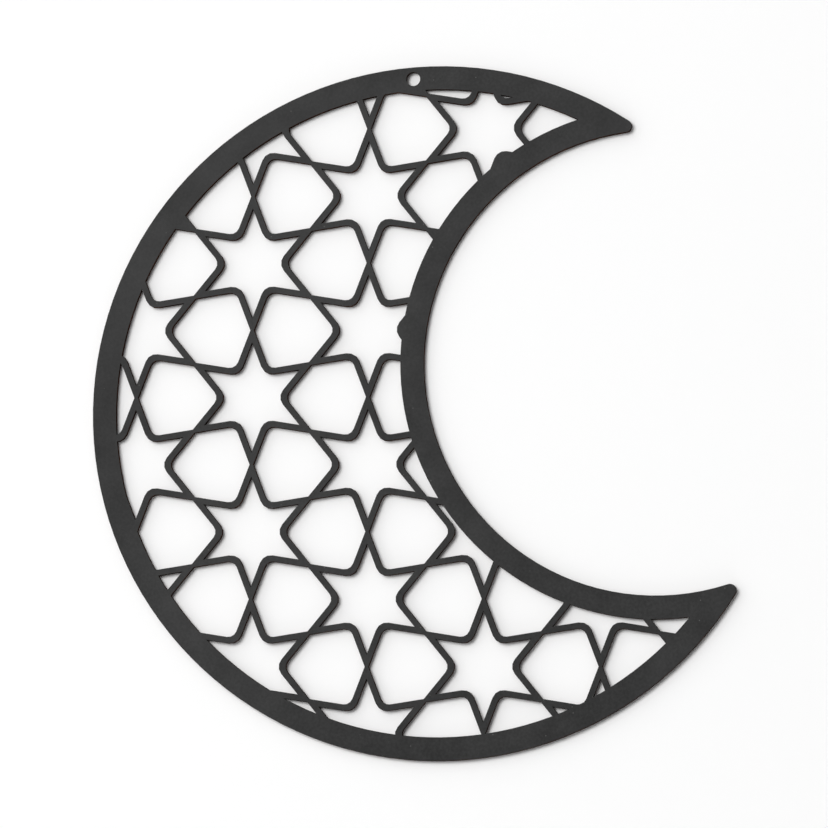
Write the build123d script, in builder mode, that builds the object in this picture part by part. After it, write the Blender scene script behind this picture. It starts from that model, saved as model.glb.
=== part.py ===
from build123d import *
import os
from math import acos, atan, ceil, cos, degrees, radians, sin, sqrt, tan

# Eid crescent ornament: one faced board, laser-cut to a crescent with a lattice of six-pointed stars.
# Millimetres, +Z up and the front towards -Y. The origin is the middle of the hanging hole.

# Crescent
OUTER_DIAMETER = 300.0
MOUTH_DIAMETER = 200.4
MOUTH_DISTANCE = 96.3  # between the centres of the two circles
MOUTH_RISE = 12.7  # degrees, how far the mouth is turned up from level
TIP_RADIUS = 2.8
RIM_WIDTH = 10.3

# Hanging hole, in the middle of the outer rim
HOLE_DIAMETER = 6.0
HOLE_LEAN = 4.5  # degrees, how far left of the top it sits

# Board, faced on both sides before it is cut
CORE_THICKNESS = 2.6
FACING_THICKNESS = 0.2
KERF_LEAN = 0.1  # how much further the laser cuts back the front of the core than its back

# Star lattice
STAR_PITCH = 58.1  # between the centres of neighbouring stars
STAR_HALF_ANGLE = 20.9  # degrees, half the angle of a star's point
STRIP_WIDTH = 2.75
CROSSING_WIDTH = 1.75  # of the neck where two strips cross
STAR_CORNER_RADIUS = 5.0
CELL_CORNER_RADIUS = 3.7
CORNER_CHORD = 0.13  # how far the few flats of a rounded lattice corner may stand off its arc
STAR_FROM_CENTRE_X = -80.8  # one star's place, from the centre of the outer circle
STAR_FROM_CENTRE_Z = 6.7
SMALLEST_OPENING = 2.0  # square millimetres: a smaller scrap of the pattern is left uncut

# Places in the plane of the board, from the hanging hole
outer_radius = OUTER_DIAMETER / 2
mouth_radius = MOUTH_DIAMETER / 2
hole_from_centre = outer_radius - RIM_WIDTH / 2
outer_x = hole_from_centre * sin(radians(HOLE_LEAN))
outer_z = -hole_from_centre * cos(radians(HOLE_LEAN))
mouth_x = outer_x + MOUTH_DISTANCE * cos(radians(MOUTH_RISE))
mouth_z = outer_z + MOUTH_DISTANCE * sin(radians(MOUTH_RISE))
star_x = outer_x + STAR_FROM_CENTRE_X
star_z = outer_z + STAR_FROM_CENTRE_Z

# The strips are bands round the stars. Neighbouring bands cross near the stars' points and close off the cells.
point_sine = sin(radians(STAR_HALF_ANGLE))
corner_sine = sin(radians(STAR_HALF_ANGLE + 30))
corner_turn = 120 - 2 * STAR_HALF_ANGLE
band_point = STAR_PITCH / 2 + CROSSING_WIDTH / 2 / tan(radians(STAR_HALF_ANGLE))
band_corner = band_point * point_sine / corner_sine
star_point = band_point - STRIP_WIDTH / point_sine
star_corner = band_corner - STRIP_WIDTH / corner_sine
cell_distance = STAR_PITCH / sqrt(3)
cell_point = cell_distance / 2 - CROSSING_WIDTH / 2
cell_corner = cell_distance - band_corner


def pointed_opening(points, point_radius, corner_radius, rounding, bulge):
    """A ring of sharp points, the first straight up, and midway between each two a corner that bulges out or in."""
    step = 360 / points
    flats = ceil(radians(corner_turn) / 2 / acos(1 - CORNER_CHORD / rounding))
    rounding_centre = corner_radius - bulge * rounding / corner_sine
    corner = []
    for k in range(flats + 1):
        turn = radians(corner_turn * (k / flats - 0.5))
        corner.append(Vector(rounding_centre + bulge * rounding * cos(turn), rounding * sin(turn)))
    outline = []
    for k in range(points):
        outline.append(Vector(point_radius, 0).rotate(Axis.Z, 90 + k * step))
        outline += [place.rotate(Axis.Z, 90 + (k + 0.5) * step) for place in corner]
    with BuildSketch() as opening:
        with BuildLine():
            Polyline(*outline, close=True)
        make_face()
    return opening.sketch


star_opening = pointed_opening(6, star_point, star_corner, STAR_CORNER_RADIUS, bulge=-1)
cell_opening = pointed_opening(3, cell_point, cell_corner, CELL_CORNER_RADIUS, bulge=1)

# Stars stand in columns a pitch apart, with every other column half a pitch higher
column_pitch = STAR_PITCH * sqrt(3) / 2
reach = ceil(OUTER_DIAMETER / column_pitch)
star_centres = []
for column in range(-reach, reach + 1):
    for row in range(-reach, reach + 1):
        x = star_x + column * column_pitch
        z = star_z + (row + (column % 2) / 2) * STAR_PITCH
        if (x - outer_x) ** 2 + (z - outer_z) ** 2 < (outer_radius + STAR_PITCH) ** 2:
            star_centres.append((x, z))

# Crescent blank, with rounded tips
with BuildSketch() as blank:
    with Locations((outer_x, outer_z)):
        Circle(outer_radius)
    with Locations((mouth_x, mouth_z)):
        Circle(mouth_radius, mode=Mode.SUBTRACT)
    fillet(blank.vertices(), TIP_RADIUS)

# Window between the rims
with BuildSketch() as window:
    with Locations((outer_x, outer_z)):
        Circle(outer_radius - RIM_WIDTH)
    with Locations((mouth_x, mouth_z)):
        Circle(mouth_radius + RIM_WIDTH, mode=Mode.SUBTRACT)

# Stars, each with the two cells beside it, cut off at the window's edge
with BuildSketch() as lattice:
    with Locations(*star_centres):
        add(star_opening)
        with Locations((cell_distance, 0)):
            add(cell_opening, rotation=-90)
        with Locations((-cell_distance, 0)):
            add(cell_opening, rotation=90)
    add(window.sketch, mode=Mode.INTERSECT)
openings = lattice.faces().filter_by(lambda opening: opening.area > SMALLEST_OPENING)

# Core board: every laser-cut wall leans a little, and the hanging hole is straight
core_back = Plane.XZ.offset(-CORE_THICKNESS / 2)
core_front = Plane.XZ.offset(CORE_THICKNESS / 2)
with BuildPart() as core_board:
    with BuildSketch(core_back):
        add(blank.sketch)
        add(openings, mode=Mode.SUBTRACT)
    extrude(amount=CORE_THICKNESS)
    cut_walls = core_board.faces().filter_by(Axis.Y, reverse=True)
    draft(cut_walls, neutral_plane=core_back, angle=degrees(atan(KERF_LEAN / CORE_THICKNESS)))
    with Locations(core_front):
        Hole(HOLE_DIAMETER / 2)
core_faces = core_board.faces().filter_by(Axis.Y).sort_by(Axis.Y)

# Front facing, bonded to the core and cut with it
with BuildPart() as front_facing:
    extrude(core_faces[0], amount=FACING_THICKNESS)

# Back facing, which keeps the board from warping
with BuildPart() as back_facing:
    extrude(core_faces[-1], amount=FACING_THICKNESS)

os.makedirs("parts", exist_ok=True)
core_board.part.label = "core_board"
export_step(core_board.part, "parts/core_board.step")
front_facing.part.label = "front_facing"
export_step(front_facing.part, "parts/front_facing.step")
back_facing.part.label = "back_facing"
export_step(back_facing.part, "parts/back_facing.step")
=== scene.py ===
import math
import bpy
from mathutils import Euler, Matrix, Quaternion, Vector


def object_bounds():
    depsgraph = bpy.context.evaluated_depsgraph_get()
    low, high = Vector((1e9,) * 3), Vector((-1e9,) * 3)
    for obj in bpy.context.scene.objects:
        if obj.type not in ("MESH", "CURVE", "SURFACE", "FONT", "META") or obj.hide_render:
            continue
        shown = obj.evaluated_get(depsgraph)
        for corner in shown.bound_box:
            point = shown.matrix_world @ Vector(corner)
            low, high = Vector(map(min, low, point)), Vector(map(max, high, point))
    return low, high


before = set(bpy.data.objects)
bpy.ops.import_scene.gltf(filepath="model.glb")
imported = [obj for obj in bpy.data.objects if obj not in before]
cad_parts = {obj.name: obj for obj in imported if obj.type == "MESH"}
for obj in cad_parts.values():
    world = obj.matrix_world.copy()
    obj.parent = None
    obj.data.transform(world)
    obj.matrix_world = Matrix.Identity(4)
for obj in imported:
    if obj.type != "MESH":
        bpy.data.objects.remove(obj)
cad_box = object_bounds()

# Core board. Brown wood-fibre board, 2.6 mm thick, cut out by a laser in one go. The beam chars every wall
# to a dark brown with fine streaks across the thickness. The walls are almost upright, so from in front they
# show only as a thin burnt line.
CHAR_DARK = (0.015, 0.0055, 0.003, 1)
CHAR_BROWN = (0.062, 0.024, 0.012, 1)
DARK_UP_TO = 0.12  # of the streaks times the burns
BROWN_FROM = 0.42
STREAKS_PER_METRE = 900
STREAK_DETAIL = 4
STREAK_STRETCH = 0.06  # how fast they change across the thickness, as a share of along the wall
STREAK_RELIEF = 0.5
STREAK_DEPTH = 0.0001  # metres
BURNS_PER_METRE = 130


def node_adder(tree):
    """A function that adds a node to this tree, with its inputs set or linked."""
    def add(kind, *values, **settings):
        node = tree.nodes.new("ShaderNode" + kind)
        for key, value in settings.items():
            setattr(node, key, value)
        for key, value in values:
            if isinstance(value, bpy.types.NodeSocket):
                tree.links.new(value, node.inputs[key])
            else:
                node.inputs[key].default_value = value
        return node

    return add


def start_material(name):
    """A new material, its shader, and the functions that add and link its nodes."""
    material = bpy.data.materials.new(name)
    material.use_nodes = True
    tree = material.node_tree
    return material, tree.nodes["Principled BSDF"], node_adder(tree), tree.links.new


def noise(add, place, per_metre, detail=2):
    return add("TexNoise", ("Vector", place), ("Scale", per_metre), ("Detail", detail)).outputs["Fac"]


def work_out(add, operation, *values, **settings):
    return add("Math", *enumerate(values), operation=operation, **settings).outputs["Value"]


def ramp(add, height, low, low_colour, high, high_colour):
    node = add("ValToRGB", ("Fac", height))
    start, end = node.color_ramp.elements
    start.position = low
    start.color = low_colour
    end.position = high
    end.color = high_colour
    return node.outputs["Color"]


def charred_wall():
    material, shader, add, link = start_material("charred_wall")
    place = add("TexCoord").outputs["Object"]
    across = add("Mapping", ("Vector", place), ("Scale", (1, STREAK_STRETCH, 1))).outputs["Vector"]
    streaks = noise(add, across, STREAKS_PER_METRE, STREAK_DETAIL)
    burns = noise(add, place, BURNS_PER_METRE)
    depth = work_out(add, "MULTIPLY", streaks, burns)
    link(ramp(add, depth, DARK_UP_TO, CHAR_DARK, BROWN_FROM, CHAR_BROWN), shader.inputs["Base Color"])
    bump = add("Bump", ("Height", streaks), ("Strength", STREAK_RELIEF), ("Distance", STREAK_DEPTH))
    link(bump.outputs["Normal"], shader.inputs["Normal"])
    shader.inputs["Roughness"].default_value = 1
    shader.inputs["Specular IOR Level"].default_value = 0
    return material


def dress(node, material):
    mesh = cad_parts[node].data
    mesh.materials.clear()
    mesh.materials.append(material)


dress("core_board", charred_wall())

# Front facing. A thin charcoal-black decor sheet, pressed on to the board before it is cut. It is matt, with
# a faint cloudy mottling and a few tiny pale specks, and its cut edge is burnt like the board's.
SHEET_DARK = (0.0068, 0.0068, 0.0068, 1)
SHEET_LIGHT = (0.0286, 0.0286, 0.0286, 1)
SHEET_SPECK = (0.10, 0.10, 0.098, 1)
GRAIN_PER_METRE = 800
GRAIN_DETAIL = 3
GRAIN_RELIEF = 0.25
GRAIN_DEPTH = 0.00008  # metres
CLOUDS_PER_METRE = 90
CLOUD_SHARE = 0.45  # against the grain
DRIFTS_PER_METRE = 8
DRIFT_SHARE = 0.4  # against grain and clouds
DARKEST_UP_TO = 0.36  # of the mottling
LIGHTEST_FROM = 0.64
SPECKS_PER_METRE = 260
SPECK_RADIUS = 0.055  # as a share of the pitch of the specks
SPECKED_SHARE = 0.35  # of the places that could have a speck
SMOOTHEST = 0.44
ROUGHEST = 0.58
SHEET_GLOSS = 0.15
EDGE_BELOW = 0.5  # the part of the normal that points out of the sheet, by which its cut edge is told


def decor_sheet(name, dark, light):
    material, shader, add, link = start_material(name)
    place = add("TexCoord").outputs["Object"]
    grain = noise(add, place, GRAIN_PER_METRE, GRAIN_DETAIL)
    clouds = noise(add, place, CLOUDS_PER_METRE)
    drift = noise(add, place, DRIFTS_PER_METRE)
    fine = add("Mix", (0, CLOUD_SHARE), (2, grain), (3, clouds)).outputs[0]
    mottle = add("Mix", (0, DRIFT_SHARE), (2, fine), (3, drift)).outputs[0]
    paper = ramp(add, mottle, DARKEST_UP_TO, dark, LIGHTEST_FROM, light)

    cells = add("TexVoronoi", ("Vector", place), ("Scale", SPECKS_PER_METRE))
    near = work_out(add, "LESS_THAN", cells.outputs["Distance"], SPECK_RADIUS)
    lot = add("SeparateColor", ("Color", cells.outputs["Color"])).outputs["Red"]
    drawn = work_out(add, "LESS_THAN", lot, SPECKED_SHARE)
    speck = work_out(add, "MULTIPLY", near, drawn)
    specked = add("Mix", (0, speck), (6, paper), (7, SHEET_SPECK), data_type="RGBA").outputs[2]

    facing = add("SeparateXYZ", ("Vector", add("NewGeometry").outputs["True Normal"])).outputs["Y"]
    cut = work_out(add, "LESS_THAN", work_out(add, "ABSOLUTE", facing), EDGE_BELOW)
    colour = add("Mix", (0, cut), (6, specked), (7, CHAR_DARK), data_type="RGBA").outputs[2]
    link(colour, shader.inputs["Base Color"])
    rough = add("MapRange", ("Value", grain), ("To Min", SMOOTHEST), ("To Max", ROUGHEST)).outputs["Result"]
    link(rough, shader.inputs["Roughness"])
    bump = add("Bump", ("Height", grain), ("Strength", GRAIN_RELIEF), ("Distance", GRAIN_DEPTH))
    link(bump.outputs["Normal"], shader.inputs["Normal"])
    gloss = add("MapRange", ("Value", cut), ("To Min", SHEET_GLOSS), ("To Max", 0)).outputs["Result"]
    link(gloss, shader.inputs["Specular IOR Level"])
    return material


dress("front_facing", decor_sheet("front_decor_sheet", SHEET_DARK, SHEET_LIGHT))

# Back facing. The same decor sheet on the back, which keeps the board from warping. The smoke of the cutting
# has dulled it a little.
SMOKED_DARK = (0.0125, 0.012, 0.0115, 1)
SMOKED_LIGHT = (0.037, 0.0355, 0.034, 1)
dress("back_facing", decor_sheet("back_decor_sheet", SMOKED_DARK, SMOKED_LIGHT))

# Wall and floor, for the picture only. The ornament hangs flat against a white wall, which shows its close
# shadow and is clear from behind, above a pale floor.
WALL_GAP = 0.0001
WALL_HALF = 1.5
FLOOR_HALF = 0.8
FLOOR_DROP = 1.2
WALL_WHITE = (0.94, 0.94, 0.94, 1)
FLOOR_WHITE = (0.86, 0.86, 0.85, 1)


def sheet_mesh(name, centre, across, up):
    mesh = bpy.data.meshes.new(name)
    corners = [centre - across - up, centre + across - up, centre + across + up, centre - across + up]
    mesh.from_pydata(corners, [], [(0, 1, 2, 3)])
    piece = bpy.data.objects.new(name, mesh)
    bpy.context.scene.collection.objects.link(piece)
    return mesh


def plaster(name, colour, clear_from_behind):
    material, shader, add, link = start_material(name)
    shader.inputs["Base Color"].default_value = colour
    shader.inputs["Roughness"].default_value = 1
    shader.inputs["Specular IOR Level"].default_value = 0
    if clear_from_behind:
        behind = add("NewGeometry").outputs["Backfacing"]
        shadow = add("LightPath").outputs["Is Shadow Ray"]
        clear = work_out(add, "MAXIMUM", behind, shadow)
        glass = add("BsdfTransparent").outputs["BSDF"]
        mix = add("MixShader", ("Fac", clear), (1, shader.outputs["BSDF"]), (2, glass))
        link(mix.outputs["Shader"], material.node_tree.nodes["Material Output"].inputs["Surface"])
    return material


low, high = cad_box
middle = (low + high) / 2
wall_centre = Vector((middle.x, high.y + WALL_GAP, middle.z))
wall = sheet_mesh("wall", wall_centre, Vector((WALL_HALF, 0, 0)), Vector((0, 0, WALL_HALF)))
wall.materials.append(plaster("wall_plaster", WALL_WHITE, True))
floor_centre = Vector((middle.x, 0, low.z - FLOOR_DROP))
floor = sheet_mesh("floor", floor_centre, Vector((FLOOR_HALF, 0, 0)), Vector((0, FLOOR_HALF, 0)))
floor.materials.append(plaster("floor_paint", FLOOR_WHITE, False))

# Light. A soft round key from the upper left in front, a broad glow that comes in low over the wall from the
# same side, a weak even fill, and a plain light from straight behind for the back.
KEY_DIRECTION = Vector((-0.321, -0.914, 0.251))
KEY_DISTANCE = 4.0
KEY_WIDTH = 1.85
KEY_POWER = 97
BACK_DIRECTION = Vector((0, 1, 0))
BACK_DISTANCE = 2.2
BACK_WIDTH = 0.35
BACK_POWER = 40
GLOW_DIRECTION = (-0.796, -0.285, 0.533)
GLOW_FALL = 1.33
GLOW_STRENGTH = 1.39
FILL_STRENGTH = 0.12


def round_lamp(name, direction, distance, width, power):
    lamp = bpy.data.lights.new(name, "AREA")
    lamp.shape = "DISK"
    lamp.size = width
    lamp.energy = power
    piece = bpy.data.objects.new(name, lamp)
    bpy.context.scene.collection.objects.link(piece)
    piece.location = middle + direction * distance
    piece.rotation_euler = direction.to_track_quat("Z", "Y").to_euler()
    piece.visible_camera = False


round_lamp("key", KEY_DIRECTION, KEY_DISTANCE, KEY_WIDTH, KEY_POWER)
round_lamp("behind", BACK_DIRECTION, BACK_DISTANCE, BACK_WIDTH, BACK_POWER)

# The glow and the fill come from the world in front of the wall. What is seen of the world itself is white.
world = bpy.data.worlds.new("studio")
bpy.context.scene.world = world
world.use_nodes = True
add = node_adder(world.node_tree)
ray = add("TexCoord").outputs["Generated"]
toward = add("VectorMath", (0, ray), (1, GLOW_DIRECTION), operation="DOT_PRODUCT").outputs["Value"]
lobe = work_out(add, "POWER", toward, GLOW_FALL, use_clamp=True)
glow = work_out(add, "MULTIPLY_ADD", lobe, GLOW_STRENGTH, FILL_STRENGTH)
depth = add("SeparateXYZ", ("Vector", ray)).outputs["Y"]
front = work_out(add, "LESS_THAN", depth, 0)
light = work_out(add, "MULTIPLY", glow, front)
path = add("LightPath").outputs
seen = work_out(add, "MAXIMUM", path["Is Camera Ray"], path["Is Glossy Ray"])
white = work_out(add, "MAXIMUM", seen, path["Is Transmission Ray"])
strength = add("Mix", (0, white), (2, light), (3, 1)).outputs[0]
background = world.node_tree.nodes["Background"].inputs
background["Color"].default_value = (1, 1, 1, 1)
world.node_tree.links.new(strength, background["Strength"])

# Camera. A long lens, a little below and to the right of straight in front, where the walls that face that
# way come into view. The outer circle of the crescent gives the scale and the place.
PHOTO_SIDE = 828  # pixels
CIRCLE_CENTRE = (438.2, 412.2)  # pixels, on the front face
CIRCLE_RADIUS = 347.2  # pixels
LENS = 300
VIEW_SLANT = math.radians(7.5)  # away from straight in front
VIEW_SIDE = math.radians(-40)  # the way it leans, from the right towards the top

outer_radius = (high.z - low.z) / 2
pixel = outer_radius / CIRCLE_RADIUS * (1 + math.cos(VIEW_SLANT)) / 2  # the slant narrows the circle one way
aim = Vector((
    low.x + outer_radius + (PHOTO_SIDE / 2 - CIRCLE_CENTRE[0]) * pixel,
    low.y,
    middle.z + (CIRCLE_CENTRE[1] - PHOTO_SIDE / 2) * pixel,
))
camera = bpy.data.objects.new("camera", bpy.data.cameras.new("camera"))
bpy.context.scene.collection.objects.link(camera)
camera.data.lens = LENS
distance = PHOTO_SIDE * pixel * LENS / camera.data.sensor_width
slant = Quaternion((-math.sin(VIEW_SIDE), 0, math.cos(VIEW_SIDE)), VIEW_SLANT)
camera.location = aim + slant @ Vector((0, -distance, 0))
camera.rotation_euler = (slant @ Euler((math.pi / 2, 0, 0)).to_quaternion()).to_euler()
bpy.context.scene.camera = camera
bpy.context.scene.view_settings.view_transform = "Standard"
